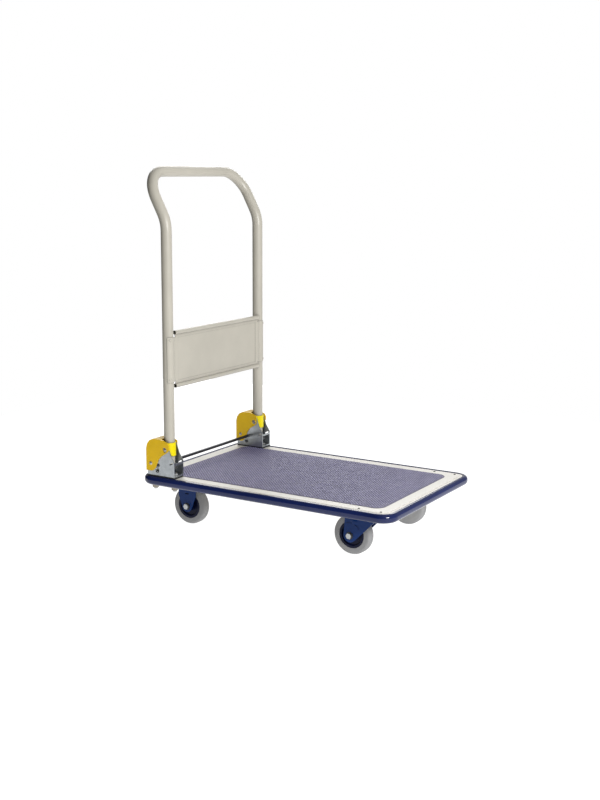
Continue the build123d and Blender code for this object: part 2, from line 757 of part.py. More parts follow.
def cover_outline():
    """Side outline of the cover, scooped out under the pivot to show the bracket plate."""
    rear = HANDLE_X - BRACKET_REAR - 3.0
    top = DECK_TOP + BRACKET_TOP + 11.0
    front = HANDLE_X + COVER_FRONT
    low = DECK_TOP + COVER_LOW
    beside_bar = BAR_X - BAR_RADIUS - COVER_OFF_BAR
    return [
        (rear, low),
        (rear, top - 28.0),
        (rear + 3.0, top - 15.0),
        (rear + 11.0, top - 5.0),
        (rear + 22.0, top),
        (HANDLE_X - 12.0, top),
        (front - 5.0, top - 6.0),
        (front, top - 15.0),
        (front, DECK_TOP + 77.0),
        (front - 6.0, DECK_TOP + 70.0),
        (HANDLE_X + 1.0, DECK_TOP + 64.5),
        (HANDLE_X - 13.0, DECK_TOP + 55.5),
        (HANDLE_X - 21.5, DECK_TOP + 45.0),
        (beside_bar, BAR_Z + 1.0),
        (beside_bar - 5.0, BAR_Z - 9.0),
        (beside_bar - 12.0, low + 1.0),
        (beside_bar - 17.0, low),
    ]


def make_cover(side):
    inner_y = BRACKET_MIN_Y - SEAT_GAP - COVER_WALL
    outer_y = BRACKET_MAX_Y + SEAT_GAP + COVER_WALL
    low_y = min(side * inner_y, side * outer_y)
    high_y = max(side * inner_y, side * outer_y)
    cover = side_profile(cover_outline(), low_y, high_y)
    upright = cover.edges().filter_by(Axis.Y)
    cover = fillet([e for e in upright if e.center().Z > DECK_TOP + 60], 1.9)
    cavity_top = [
        (HANDLE_X - BRACKET_REAR - 3.0 + COVER_WALL, DECK_TOP - 5.0),
        (HANDLE_X - BRACKET_REAR - 3.0 + COVER_WALL, DECK_TOP + 73.0),
        (HANDLE_X - BRACKET_REAR + 2.5, DECK_TOP + 84.5),
        (HANDLE_X - BRACKET_REAR + 9.5, DECK_TOP + 93.5),
        (HANDLE_X - BRACKET_REAR + 19.5, DECK_TOP + 98.5),
        (HANDLE_X + 40.0, DECK_TOP + 98.5),
        (HANDLE_X + 40.0, DECK_TOP - 5.0),
    ]
    cover -= side_profile(cavity_top, low_y + COVER_WALL, high_y - COVER_WALL)
    # The top is open round the upright and in front of it, so that the handle can swing down.
    y = side * HANDLE_HALF_SPAN
    cover -= box_between(
        (HANDLE_X - TUBE_RADIUS - 2.0, y - BRACKET_HALF_GAP, DECK_TOP),
        (HANDLE_X + 60, y + BRACKET_HALF_GAP, DECK_TOP + 140),
    )
    # The inner wall stops further back, in line with the plate's sloping front edge.
    wall_y = (side * (inner_y - 1), side * (inner_y + COVER_WALL + SEAT_GAP / 2))
    cover -= box_between(
        (HANDLE_X + COVER_INNER_FRONT, min(wall_y), DECK_TOP),
        (HANDLE_X + COVER_FRONT + 1, max(wall_y), DECK_TOP + 140),
    )
    cover -= rod_y(COVER_PIN_WINDOW, HANDLE_X, PIVOT_Z, low_y - 1, high_y + 1)
    screw_x = HANDLE_X - COVER_SCREW_BACK
    screw_z = DECK_TOP + COVER_SCREW_RISE
    cover -= rod_y(SCREW_SHANK + CLAMP_GAP, screw_x, screw_z, low_y - 1, high_y + 1)
    return cover


def make_cover_screws():
    """One screw through each cover wall into the bracket plate behind it."""
    screws = []
    x = HANDLE_X - COVER_SCREW_BACK
    z = DECK_TOP + COVER_SCREW_RISE
    for side in SIDES:
        for plate_y, out in ((BRACKET_MIN_Y, -1), (BRACKET_MAX_Y, 1)):
            seat = side * (plate_y + out * (SEAT_GAP + COVER_WALL))
            outward = side * out
            shank = rod_y(SCREW_SHANK, x, z, seat + outward, seat - outward * 6.5)
            turn = Rot(-90, 0, 0) if outward > 0 else Rot(90, 0, 0)
            head = Pos(x, seat, z) * turn * dome(SCREW_HEAD_RADIUS, SCREW_HEAD)
            cross = Pos(x, seat + outward * SCREW_HEAD, z) * (
                Box(4.4, 1.2, 0.9) + Box(0.9, 1.2, 4.4)
            )
            screws.append(shank + (head - cross))
    return group(screws)


# ---------------------------------------------------------------- release bar
def make_release_bar():
    reach = BRACKET_MAX_Y + 1.5
    bar = rod_y(BAR_RADIUS, BAR_X, BAR_Z, -reach, reach)
    ends = bar.edges().filter_by(GeomType.CIRCLE)
    return chamfer(ends, 0.8)


def make_return_springs():
    """A small pull spring in each bracket, from the front strip back to the release bar."""

    def spring(side):
        y = side * HANDLE_HALF_SPAN
        start_x = HANDLE_X + BRACKET_FRONT - BRACKET_SHEET - 4.0
        end_x = BAR_X + BAR_RADIUS + SPRING_WIRE + 1.5
        z = BAR_Z - SPRING_COIL - 1.5
        length = start_x - end_x
        helix = Helix(
            pitch=length / SPRING_TURNS,
            height=length,
            radius=SPRING_COIL,
            center=(end_x, y, z),
            direction=(1, 0, 0),
        )
        section = Plane(origin=helix @ 0, z_dir=helix % 0) * Circle(SPRING_WIRE)
        return sweep(section, path=helix)

    return both_sides(spring)


# ---------------------------------------------------------------- casters
def wheel_place(x, side):
    """A wheel's centre, turned so that the wheel's own +Z points along -Y of the cart."""
    return Pos(x, side * CASTER_Y, WHEEL_RADIUS) * Rot(90, 0, 0)


def make_tyre(x, side):
    """A tyre with a moulded web over the wheel's inner face, the one towards the cart's middle."""
    with BuildSketch(Plane.XZ) as section:
        with Locations(((HUB_RADIUS + WHEEL_RADIUS) / 2, 0)):
            Rectangle(WHEEL_RADIUS - HUB_RADIUS, TYRE_WIDTH)
        outer = section.vertices().filter_by(lambda v: v.X > WHEEL_RADIUS - 0.1)
        fillet(outer, TYRE_SHOULDER)
        inner = section.vertices().filter_by(lambda v: v.X < HUB_RADIUS + 0.1)
        chamfer(inner, 0.5)
    ring = revolve(section.sketch, Axis.Z)
    thickness = TYRE_WEB_TO - TYRE_WEB_FROM
    web = Cylinder(HUB_RADIUS + 1, thickness) - Cylinder(TYRE_WEB_RADIUS, thickness + 1)
    middle = side * (TYRE_WEB_FROM + TYRE_WEB_TO) / 2
    return wheel_place(x, side) * (ring + Pos(0, 0, middle) * web)


def make_hub(x, side):
    rim = HUB_RADIUS - SEAT_GAP
    seat = TYRE_WEB_FROM - SEAT_GAP
    profile = [
        (SLEEVE_RADIUS + RUNNING_GAP, -BOSS_WIDTH / 2),
        (BOSS_RADIUS - 2, -BOSS_WIDTH / 2),
        (BOSS_RADIUS, -HUB_WIDTH / 2),
        (BOSS_RADIUS + 2, -HUB_WEB / 2),
        (rim - HUB_RIM - 2, -HUB_WEB / 2),
        (rim - HUB_RIM, -HUB_WIDTH / 2),
        (rim, -HUB_WIDTH / 2),
        (rim, seat),
        (rim - HUB_RIM, seat),
        (rim - HUB_RIM - 2, HUB_WEB / 2),
        (BOSS_RADIUS + 2, HUB_WEB / 2),
        (BOSS_RADIUS, HUB_WIDTH / 2),
        (BOSS_RADIUS - 2, BOSS_WIDTH / 2),
        (SLEEVE_RADIUS + RUNNING_GAP, BOSS_WIDTH / 2),
    ]
    face = make_face(Polyline(*[(r, 0, side * w) for r, w in profile], close=True))
    return wheel_place(x, side) * revolve(face, Axis.Z)


def fork_leg(outline, axle_x, boss, y_from, y_to):
    """One fork leg: a flat outline with a round end at the axle."""
    leg = side_profile(outline, y_from, y_to)
    leg += rod_y(boss, axle_x, WHEEL_RADIUS, y_from, y_to)
    return leg - rod_y(M8_RADIUS + CLAMP_GAP, axle_x, WHEEL_RADIUS, y_from - 5, y_to + 5)


def leg_spans(y):
    """The two leg positions of a fork centred at y, each from low to high."""
    inner = FORK_GAP / 2
    outer = inner + FORK_SHEET
    return ((y - outer, y - inner), (y + inner, y + outer))


def outward_faces(y):
    """The outer face of each leg, with the direction that points away from the wheel."""
    reach = FORK_GAP / 2 + FORK_SHEET
    return ((y - reach, -1), (y + reach, 1))


def make_fixed_fork(side):
    x = FIXED_AXLE_X
    y = side * CASTER_Y
    plate_bottom = PLATE_TOP - PLATE_THICK
    fork = box_between(
        (x - PLATE_LENGTH / 2, y - PLATE_WIDTH / 2, plate_bottom),
        (x + PLATE_LENGTH / 2, y + PLATE_WIDTH / 2, PLATE_TOP),
    )
    for bolt_x, bolt_y in caster_bolt_places(x, y):
        hole = M8_RADIUS + BOLT_HOLE_GAP
        fork -= rod_z(hole, bolt_x, bolt_y, plate_bottom - 1, PLATE_TOP + 1)
    shoulder_z = WHEEL_RADIUS + 28.0
    outline = [
        (x - 27.5, plate_bottom + 1),
        (x + 27.5, plate_bottom + 1),
        (x + 26.5, shoulder_z),
        (x + 14.0, WHEEL_RADIUS - 5.5),
        (x - 14.0, WHEEL_RADIUS - 5.5),
        (x - 26.5, shoulder_z),
    ]
    for y_from, y_to in leg_spans(y):
        fork += fork_leg(outline, x, 15.0, y_from, y_to)
    for face_y, out in outward_faces(y):
        # A pressed bar and a slot under it stiffen the upper part of each leg.
        bar_y = (face_y, face_y + out * 1.2)
        fork += box_between(
            (x - 17, min(bar_y), shoulder_z + 17), (x + 17, max(bar_y), shoulder_z + 22)
        )
        fork -= box_between(
            (x - 6, min(face_y, face_y - out * (FORK_SHEET + 1)), shoulder_z + 5),
            (x + 6, max(face_y, face_y - out * (FORK_SHEET + 1)), shoulder_z + 8),
        )
        ring = rod_y(15.0, x, WHEEL_RADIUS, face_y, face_y + out * 0.8)
        fork += ring - rod_y(12.5, x, WHEEL_RADIUS, face_y - 3, face_y + 3)
    return fork


def swivel_fork_outline():
    top = PLATE_TOP - PLATE_THICK - RACE_HEIGHT - FACE_GAP
    axle = SWIVEL_AXLE_X
    return [
        (axle - 16.9, WHEEL_RADIUS),
        (axle - 12.5, top),
        (SWIVEL_X + 34.0, top),
        (SWIVEL_X + 33.0, top - 15.0),
        (axle + 13.5, WHEEL_RADIUS - 11.0),
    ]


def make_swivel_fork(side):
    """The turning fork: a round crown under the ball race and two slanted legs."""
    y = side * CASTER_Y
    top = PLATE_TOP - PLATE_THICK - RACE_HEIGHT - FACE_GAP
    fork = rod_z(CROWN_RADIUS, SWIVEL_X, y, top - FORK_SHEET, top)
    fork += box_between(
        (SWIVEL_AXLE_X - 12.0, y - FORK_GAP / 2 - 1, top - FORK_SHEET),
        (SWIVEL_X + 20.0, y + FORK_GAP / 2 + 1, top),
    )
    for y_from, y_to in leg_spans(y):
        fork += fork_leg(swivel_fork_outline(), SWIVEL_AXLE_X, 17.0, y_from, y_to)
    for face_y, out in outward_faces(y):
        # Each leg carries a round pressed boss and a curved rib above the axle.
        boss = Pos(SWIVEL_AXLE_X + 12.0, face_y, WHEEL_RADIUS + 37.0)
        turn = Rot(-90, 0, 0) if out > 0 else Rot(90, 0, 0)
        fork += boss * turn * dome(9.0, 2.4)
        rib = rod_y(33.0, SWIVEL_AXLE_X, WHEEL_RADIUS, face_y, face_y + out * 1.6)
        rib -= rod_y(30.5, SWIVEL_AXLE_X, WHEEL_RADIUS, face_y - 3, face_y + 3)
        window = box_between(
            (SWIVEL_AXLE_X - 10, face_y - 3, WHEEL_RADIUS + 18),
            (SWIVEL_AXLE_X + 24, face_y + 3, WHEEL_RADIUS + 40),
        )
        fork += rib & window
    fork -= rod_z(KINGPIN_RADIUS + RUNNING_GAP, SWIVEL_X, y, top - FORK_SHEET - 1, top + 1)
    return fork


def make_race(side):
    """The pressed ring that covers the balls; it turns with the fork."""
    y = side * CASTER_Y
    bottom = PLATE_TOP - PLATE_THICK - RACE_HEIGHT - FACE_GAP
    ring = rod_z(RACE_RADIUS, SWIVEL_X, y, bottom, bottom + RACE_HEIGHT)
    top_edge = ring.edges().filter_by(lambda e: abs(e.center().Z - bottom - RACE_HEIGHT) < 0.01)
    ring = fillet(top_edge, 3.0)
    return ring - rod_z(RACE_INNER, SWIVEL_X, y, bottom - 1, bottom + RACE_HEIGHT + 1)


def make_caster_plates():
    def plate(side):
        x = SWIVEL_X
        y = side * CASTER_Y
        bottom = PLATE_TOP - PLATE_THICK
        sheet = box_between(
            (x - PLATE_LENGTH / 2, y - PLATE_WIDTH / 2, bottom),
            (x + PLATE_LENGTH / 2, y + PLATE_WIDTH / 2, PLATE_TOP),
        )
        sheet = fillet(sheet.edges().filter_by(Axis.Z), 8.0)
        for bolt_x, bolt_y in caster_bolt_places(x, y):
            hole = M8_RADIUS + BOLT_HOLE_GAP
            sheet -= rod_z(hole, bolt_x, bolt_y, bottom - 1, PLATE_TOP + 1)
        return sheet - rod_z(KINGPIN_RADIUS + CLAMP_GAP, x, y, bottom - 1, PLATE_TOP + 1)

    return both_sides(plate)


def make_kingpins():
    def kingpin(side):
        x = SWIVEL_X
        y = side * CASTER_Y
        crown_bottom = PLATE_TOP - PLATE_THICK - RACE_HEIGHT - FACE_GAP - FORK_SHEET
        head_top = crown_bottom - FACE_GAP
        pin = rod_z(KINGPIN_RADIUS, x, y, head_top - 1, PLATE_TOP + 1.5)
        pin += rod_z(KINGPIN_HEAD_RADIUS, x, y, head_top - KINGPIN_HEAD, head_top)
        return pin + rod_z(KINGPIN_HEAD_RADIUS - 1.5, x, y, PLATE_TOP, PLATE_TOP + 1.5)

    return both_sides(kingpin)


def make_caster_bolts():
    bolts = []
    seat = PLATE_TOP - PLATE_THICK
    for x, y in CASTER_CENTRES:
        for bolt_x, bolt_y in caster_bolt_places(x, y):
            head = hexagon_z(M8_FLATS, bolt_x, bolt_y, seat - M8_HEAD, seat)
            tip = PLATE_TOP + MEMBER_WALL + M8_NUT
            bolts.append(head + rod_z(M8_RADIUS, bolt_x, bolt_y, seat, tip))
    return group(bolts)


def make_caster_nuts():
    nuts = []
    seat = PLATE_TOP + MEMBER_WALL
    for x, y in CASTER_CENTRES:
        for bolt_x, bolt_y in caster_bolt_places(x, y):
            nut = hexagon_z(M8_FLATS, bolt_x, bolt_y, seat, seat + M8_NUT)
            hole = rod_z(M8_RADIUS + CLAMP_GAP, bolt_x, bolt_y, seat - 1, seat + M8_NUT + 1)
            nuts.append(nut - hole)
    return group(nuts)


def make_axle_sleeve(x, side):
    y = side * CASTER_Y
    half = FORK_GAP / 2 - CLAMP_GAP
    sleeve = rod_y(SLEEVE_RADIUS, x, WHEEL_RADIUS, y - half, y + half)
    return sleeve - rod_y(M8_RADIUS + CLAMP_GAP, x, WHEEL_RADIUS, y - half - 1, y + half + 1)


def make_axle_bolt(x, side):
    """An axle bolt with its head and washer face on the outer side of the cart."""
    y = side * CASTER_Y
    leg_face = FORK_GAP / 2 + FORK_SHEET
    seat = y + side * (leg_face + WASHER)
    tip = y - side * (leg_face + M8_NUT + 3.0)
    shank = rod_y(M8_RADIUS, x, WHEEL_RADIUS, seat, tip)
    return shank + hexagon_y(x, WHEEL_RADIUS, seat, seat + side * M8_HEAD)


def hexagon_y(x, z, y_from, y_to):
    """An M8 hexagon along Y."""
    outline = RegularPolygon(M8_FLATS / 2, 6, major_radius=False)
    low = min(y_from, y_to)
    bar = extrude(outline, abs(y_to - y_from))
    return Pos(x, low, z) * Rot(-90, 0, 0) * bar


def make_axle_washer(x, side):
    y = side * CASTER_Y
    leg_face = y + side * (FORK_GAP / 2 + FORK_SHEET)
    washer = rod_y(WASHER_RADIUS, x, WHEEL_RADIUS, leg_face, leg_face + side * WASHER)
    return washer - rod_y(M8_RADIUS + CLAMP_GAP, x, WHEEL_RADIUS, leg_face - 5, leg_face + 5)


def make_axle_nut(x, side):
    y = side * CASTER_Y
    leg_face = y - side * (FORK_GAP / 2 + FORK_SHEET)
    nut = hexagon_y(x, WHEEL_RADIUS, leg_face, leg_face - side * M8_NUT)
    return nut - rod_y(M8_RADIUS + CLAMP_GAP, x, WHEEL_RADIUS, leg_face - 7, leg_face + 7)


def turned(shape, side):
    """A piece of a swivel caster, turned about the caster's own swivel axis."""
    angle = LEFT_SWIVEL_TURN if side > 0 else RIGHT_SWIVEL_TURN
    y = side * CASTER_Y
    return Pos(SWIVEL_X, y, 0) * Rot(0, 0, angle) * Pos(-SWIVEL_X, -y, 0) * shape


# ---------------------------------------------------------------- the parts
parts["deck_plate"] = make_deck_plate()
parts["front_member"] = make_member(
    FRONT_MEMBER_X,
    FRONT_MEMBER_LENGTH,
    DECK_EDGE_Y - SHEET - FACE_GAP,
    MEMBER_DEPTH,
    [(x, side * DECK_RIVET_Y) for side in SIDES for x in DECK_RIVET_X],
)
parts["rear_member"] = make_member(
    FIXED_AXLE_X, REAR_MEMBER_LENGTH, BRACKET_MIN_Y, MEMBER_DEPTH, []
)
parts["deck_ribs"] = make_ribs()
parts["deck_mat"] = make_mat()
parts["bumper"] = make_bumper()
parts["deck_rivets"] = make_deck_rivets()
parts["handle_tube"] = make_handle_tube()
parts["tube_plugs"] = make_tube_plugs()
parts["handle_panel"] = make_handle_panel()
parts["panel_rivets"] = make_panel_rivets()
parts["handle_collars"] = make_collars()
parts["hinge_pads"] = make_hinge_pads()
parts["hinge_backings"] = make_hinge_backings()
parts["bracket_bolts"] = make_bracket_bolts()
parts["bracket_nuts"] = make_bracket_nuts()
parts["pivot_pins"] = make_pivot_pins()
parts["cover_screws"] = make_cover_screws()
parts["release_bar"] = make_release_bar()
parts["return_springs"] = make_return_springs()
parts["caster_plates"] = make_caster_plates()
parts["kingpins"] = make_kingpins()
parts["caster_bolts"] = make_caster_bolts()
parts["caster_nuts"] = make_caster_nuts()

for side, name in ((-1, "right"), (1, "left")):
    parts["hinge_bracket_" + name] = make_bracket(side)
    parts["hinge_cover_" + name] = make_cover(side)

    parts["rear_fork_" + name] = make_fixed_fork(side)
    parts["rear_tyre_" + name] = make_tyre(FIXED_AXLE_X, side)
    parts["rear_hub_" + name] = make_hub(FIXED_AXLE_X, side)

    parts["front_fork_" + name] = turned(make_swivel_fork(side), side)
    parts["front_race_" + name] = turned(make_race(side), side)
    parts["front_sleeve_" + name] = turned(make_axle_sleeve(SWIVEL_AXLE_X, side), side)
    parts["front_axle_bolt_" + name] = turned(make_axle_bolt(SWIVEL_AXLE_X, side), side)
    parts["front_axle_washer_" + name] = turned(make_axle_washer(SWIVEL_AXLE_X, side), side)
    parts["front_axle_nut_" + name] = turned(make_axle_nut(SWIVEL_AXLE_X, side), side)
    parts["front_tyre_" + name] = turned(make_tyre(SWIVEL_AXLE_X, side), side)
    parts["front_hub_" + name] = turned(make_hub(SWIVEL_AXLE_X, side), side)

parts["rear_sleeves"] = both_sides(lambda side: make_axle_sleeve(FIXED_AXLE_X, side))
parts["rear_axle_bolts"] = both_sides(lambda side: make_axle_bolt(FIXED_AXLE_X, side))
parts["rear_axle_washers"] = both_sides(lambda side: make_axle_washer(FIXED_AXLE_X, side))
parts["rear_axle_nuts"] = both_sides(lambda side: make_axle_nut(FIXED_AXLE_X, side))

os.makedirs("parts", exist_ok=True)
for name, shape in parts.items():
    export_step(shape, f"parts/{name}.step")
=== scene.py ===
import json
import math

import bmesh
import bpy
from mathutils import Matrix, Vector


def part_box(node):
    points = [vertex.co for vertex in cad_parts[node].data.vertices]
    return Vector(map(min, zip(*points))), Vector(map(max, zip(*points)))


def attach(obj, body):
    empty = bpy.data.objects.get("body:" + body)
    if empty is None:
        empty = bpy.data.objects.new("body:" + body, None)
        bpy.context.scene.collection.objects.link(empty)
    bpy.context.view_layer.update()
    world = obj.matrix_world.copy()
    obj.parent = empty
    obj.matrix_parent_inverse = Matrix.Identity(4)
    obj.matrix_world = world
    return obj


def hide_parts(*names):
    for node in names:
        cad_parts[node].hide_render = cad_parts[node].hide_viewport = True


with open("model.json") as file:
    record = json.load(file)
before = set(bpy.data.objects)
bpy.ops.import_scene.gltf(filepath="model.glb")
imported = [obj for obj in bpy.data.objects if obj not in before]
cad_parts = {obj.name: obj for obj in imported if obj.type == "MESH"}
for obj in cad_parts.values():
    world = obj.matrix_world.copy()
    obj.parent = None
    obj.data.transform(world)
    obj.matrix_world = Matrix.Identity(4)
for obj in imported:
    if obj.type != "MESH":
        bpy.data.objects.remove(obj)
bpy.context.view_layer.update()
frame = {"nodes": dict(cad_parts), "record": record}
NODES = frame["nodes"]
scene = bpy.context.scene
MM = 0.001


# ------------------------------------------------------------------ shader helpers
class Shader:
    """A small wrapper that builds one node material."""

    def __init__(self, name):
        self.material = bpy.data.materials.new(name)
        self.material.use_nodes = True
        self.tree = self.material.node_tree
        self.nodes = self.tree.nodes
        self.bsdf = self.nodes["Principled BSDF"]
        self.coords = self.nodes.new("ShaderNodeTexCoord").outputs["Object"]

    def put(self, socket, value):
        """Links an output to a socket, or sets a plain value on it."""
        if isinstance(value, bpy.types.NodeSocket):
            self.tree.links.new(value, socket)
        else:
            socket.default_value = value

    def set(self, **values):
        """Plain values on the shader's own sockets, named with underscores."""
        for key, value in values.items():
            self.bsdf.inputs[key.replace("_", " ")].default_value = value

    def stretch(self, x, y, z):
        node = self.nodes.new("ShaderNodeMapping")
        node.inputs["Scale"].default_value = (x, y, z)
        self.put(node.inputs["Vector"], self.coords)
        return node.outputs["Vector"]

    def noise(self, scale, detail=3.0, roughness=0.55, vector=None):
        node = self.nodes.new("ShaderNodeTexNoise")
        node.inputs["Scale"].default_value = scale
        node.inputs["Detail"].default_value = detail
        node.inputs["Roughness"].default_value = roughness
        self.put(node.inputs["Vector"], vector or self.coords)
        return node.outputs["Fac"]

    def cells(self, scale, output="Distance", vector=None):
        node = self.nodes.new("ShaderNodeTexVoronoi")
        node.inputs["Scale"].default_value = scale
        self.put(node.inputs["Vector"], vector or self.coords)
        return node.outputs[output]

    def ramp(self, value, stops):
        node = self.nodes.new("ShaderNodeValToRGB")
        points = node.color_ramp.elements
        while len(points) < len(stops):
            points.new(0.5)
        for point, (place, colour) in zip(points, stops):
            point.position = place
            point.color = (*colour, 1) if isinstance(colour, tuple) else (colour,) * 3 + (1,)
        self.put(node.inputs["Fac"], value)
        return node.outputs["Color"]

    def span(self, value, low, high, from_low=0.3, from_high=0.7):
        node = self.nodes.new("ShaderNodeMapRange")
        for key, number in zip(
            ("From Min", "From Max", "To Min", "To Max"), (from_low, from_high, low, high)
        ):
            node.inputs[key].default_value = number
        self.put(node.inputs["Value"], value)
        return node.outputs["Result"]

    def mix(self, factor, a, b):
        node = self.nodes.new("ShaderNodeMix")
        node.data_type = "RGBA"
        self.put(node.inputs["Factor"], factor)
        for socket, value in ((node.inputs[6], a), (node.inputs[7], b)):
            self.put(socket, (*value, 1) if isinstance(value, tuple) else value)
        return node.outputs[2]

    def math(self, operation, a, b=0.0):
        node = self.nodes.new("ShaderNodeMath")
        node.operation = operation
        self.put(node.inputs[0], a)
        self.put(node.inputs[1], b)
        return node.outputs[0]

    def bump(self, height, strength, distance, under=None):
        node = self.nodes.new("ShaderNodeBump")
        node.inputs["Strength"].default_value = strength
        node.inputs["Distance"].default_value = distance
        self.put(node.inputs["Height"], height)
        if under is not None:
            self.put(node.inputs["Normal"], under)
        return node.outputs["Normal"]

    def edges(self, radius=0.0012):
        """About 0 on flat faces and 1 along sharp edges."""
        bevel = self.nodes.new("ShaderNodeBevel")
        bevel.inputs["Radius"].default_value = radius
        bevel.samples = 4
        geometry = self.nodes.new("ShaderNodeNewGeometry")
        dot = self.nodes.new("ShaderNodeVectorMath")
        dot.operation = "DOT_PRODUCT"
        self.put(dot.inputs[0], bevel.outputs["Normal"])
        self.put(dot.inputs[1], geometry.outputs["Normal"])
        return self.span(dot.outputs["Value"], 1.0, 0.0, 0.82, 0.985)

    def crevices(self, distance=0.012, deep=0.2, open_air=0.8):
        """0 on open faces and 1 where the air around a point is mostly blocked."""
        node = self.nodes.new("ShaderNodeAmbientOcclusion")
        node.inputs["Distance"].default_value = distance
        node.samples = 6
        return self.span(node.outputs["AO"], 1.0, 0.0, deep, open_air)

    def out(self, colour=None, roughness=None, normal=None, metallic=None):
        for key, value in (
            ("Base Color", colour),
            ("Roughness", roughness),
            ("Normal", normal),
            ("Metallic", metallic),
        ):
            if value is not None:
                if isinstance(value, tuple):
                    value = (*value, 1)
                self.put(self.bsdf.inputs[key], value)
        return self.material


BARE_STEEL = (0.35, 0.35, 0.34)


def scaled(colour, factor):
    return tuple(min(1.0, c * factor) for c in colour)


def painted(
    name, colour, rough, peel=0.12, chip=0.0, shine=0.5, crease=0.35, creases=(0.012, 0.2, 0.8), crease_tone=0.5
):
    """Enamel or powder coat: orange peel, soft shade changes, painted shade in creases that also stands
    for dirt, wear at the edges.

    crease is how far the painted shade goes, creases its reach and limits, crease_tone the tone of the
    darkening.
    """
    s = Shader(name)
    shade = s.mix(s.span(s.noise(9, 4), 0, 1), scaled(colour, 0.94), scaled(colour, 1.05))
    # Darker where the air around a point is blocked: painted shade in the creases, also standing for dirt.
    dust_and_shade = s.mix(s.math("MULTIPLY", s.crevices(*creases), crease), shade, scaled(colour, crease_tone))
    rub = s.noise(55, 5, 0.7)
    worn = s.math("MULTIPLY", s.edges(), s.span(rub, 0, 1, 0.5, 0.64))
    final = s.mix(s.math("MULTIPLY", worn, chip), dust_and_shade, BARE_STEEL)
    fine = s.bump(s.noise(1300, 2), peel, 0.0003)
    normal = s.bump(s.noise(260, 2), peel * 1.4, 0.0006, fine)
    gloss = s.span(s.noise(32, 5, 0.65), rough * 0.85, rough * 1.2)
    s.set(Specular_IOR_Level=shine)
    return s.out(final, gloss, normal)


def zinc(name, colour, rough, spangle=0.5, brushed=True):
    """Bright zinc plate on steel: faint crystal patches, rolling lines, duller stained patches, and
    painted shade in the crevices.
    """
    s = Shader(name)
    patches = s.cells(140, "Color")
    crystal = s.math("MULTIPLY", s.span(patches, 0, 1, 0, 1), spangle)
    tint = s.mix(crystal, scaled(colour, 0.86), scaled(colour, 1.08))
    stain = s.span(s.noise(38, 6, 0.7), 0, 1, 0.45, 0.75)
    shade = s.mix(s.math("MULTIPLY", stain, 0.35), tint, scaled(colour, 0.62))
    # Crevices darkened by an occlusion mask: painted shade.
    crevice_shade = s.mix(s.math("MULTIPLY", s.crevices(0.01), 0.5), shade, scaled(colour, 0.35))
    lines = s.noise(900, 2, 0.6, s.stretch(1, 1, 0.04)) if brushed else s.noise(700, 2)
    normal = s.bump(lines, 0.12, 0.0002)
    edge = s.edges(0.0008)
    final = s.mix(s.math("MULTIPLY", edge, 0.5), crevice_shade, scaled(colour, 1.25))
    s.set(Metallic=0.92)
    return s.out(final, s.span(s.noise(60, 5, 0.7), rough * 0.7, rough * 1.35), normal)


def plastic(name, colour, rough, grain=900.0, depth=0.12, haze=1.06, shine=0.5, wear=0.25):
    """Moulded plastic or vinyl: fine grain, slight flow marks, pale rubbed edges."""
    s = Shader(name)
    flow = s.noise(14, 3, 0.5, s.stretch(1, 1, 2.5))
    shade = s.mix(s.span(flow, 0, 1), scaled(colour, 0.93), scaled(colour, haze))
    # Crevices darkened by an occlusion mask: painted shade, also standing for dust.
    dust_and_shade = s.mix(s.math("MULTIPLY", s.crevices(), 0.3), shade, scaled(colour, 0.6))
    rub = s.math("MULTIPLY", s.edges(), s.span(s.noise(80, 4, 0.7), 0, 1, 0.42, 0.62))
    pale = tuple(c * 0.8 + 0.12 for c in colour)
    final = s.mix(s.math("MULTIPLY", rub, wear), dust_and_shade, pale)
    grainy = s.bump(s.cells(grain), depth, 0.0002)
    normal = s.bump(s.noise(120, 3), depth * 0.6, 0.0004, grainy)
    s.set(Specular_IOR_Level=shine)
    return s.out(final, s.span(s.noise(45, 5, 0.7), rough * 0.85, rough * 1.2), normal)


def gloss_vinyl(name, colour, rough):
    """Glossy extruded vinyl: long soft ripples, fine scuffs and painted shade in the crevices that also
    stands for dust.
    """
    s = Shader(name)
    flow = s.noise(6, 3, 0.5)
    shade = s.mix(s.span(flow, 0, 1), scaled(colour, 0.85), scaled(colour, 1.2))
    # Crevices darkened by an occlusion mask: painted shade, also standing for dust.
    dust_and_shade = s.mix(s.math("MULTIPLY", s.crevices(), 0.4), shade, scaled(colour, 0.5))
    scuff = s.span(s.noise(75, 6, 0.75), 0, 1, 0.60, 0.80)
    final = s.mix(s.math("MULTIPLY", scuff, 0.12), dust_and_shade, (0.10, 0.11, 0.17))
    normal = s.bump(s.noise(22, 2), 0.05, 0.0012, s.bump(s.noise(900, 2), 0.03, 0.0002))
    s.set(Specular_IOR_Level=0.40)
    return s.out(final, s.span(s.noise(30, 5, 0.7), rough * 0.8, rough * 1.5), normal)


def tyre_rubber(name, colour):
    s = Shader(name)
    shade = s.mix(s.span(s.noise(24, 5, 0.6), 0, 1), scaled(colour, 0.90), scaled(colour, 1.07))
    specks = s.span(s.noise(420, 4, 0.8), 0, 1, 0.60, 0.74)
    scuffed = s.mix(s.math("MULTIPLY", specks, 0.35), shade, scaled(colour, 0.62))
    fine = s.bump(s.noise(1500, 3), 0.25, 0.0003)
    normal = s.bump(s.noise(170, 4, 0.7), 0.2, 0.0005, fine)
    return s.out(scuffed, s.span(s.noise(60, 4), 0.55, 0.8), normal)


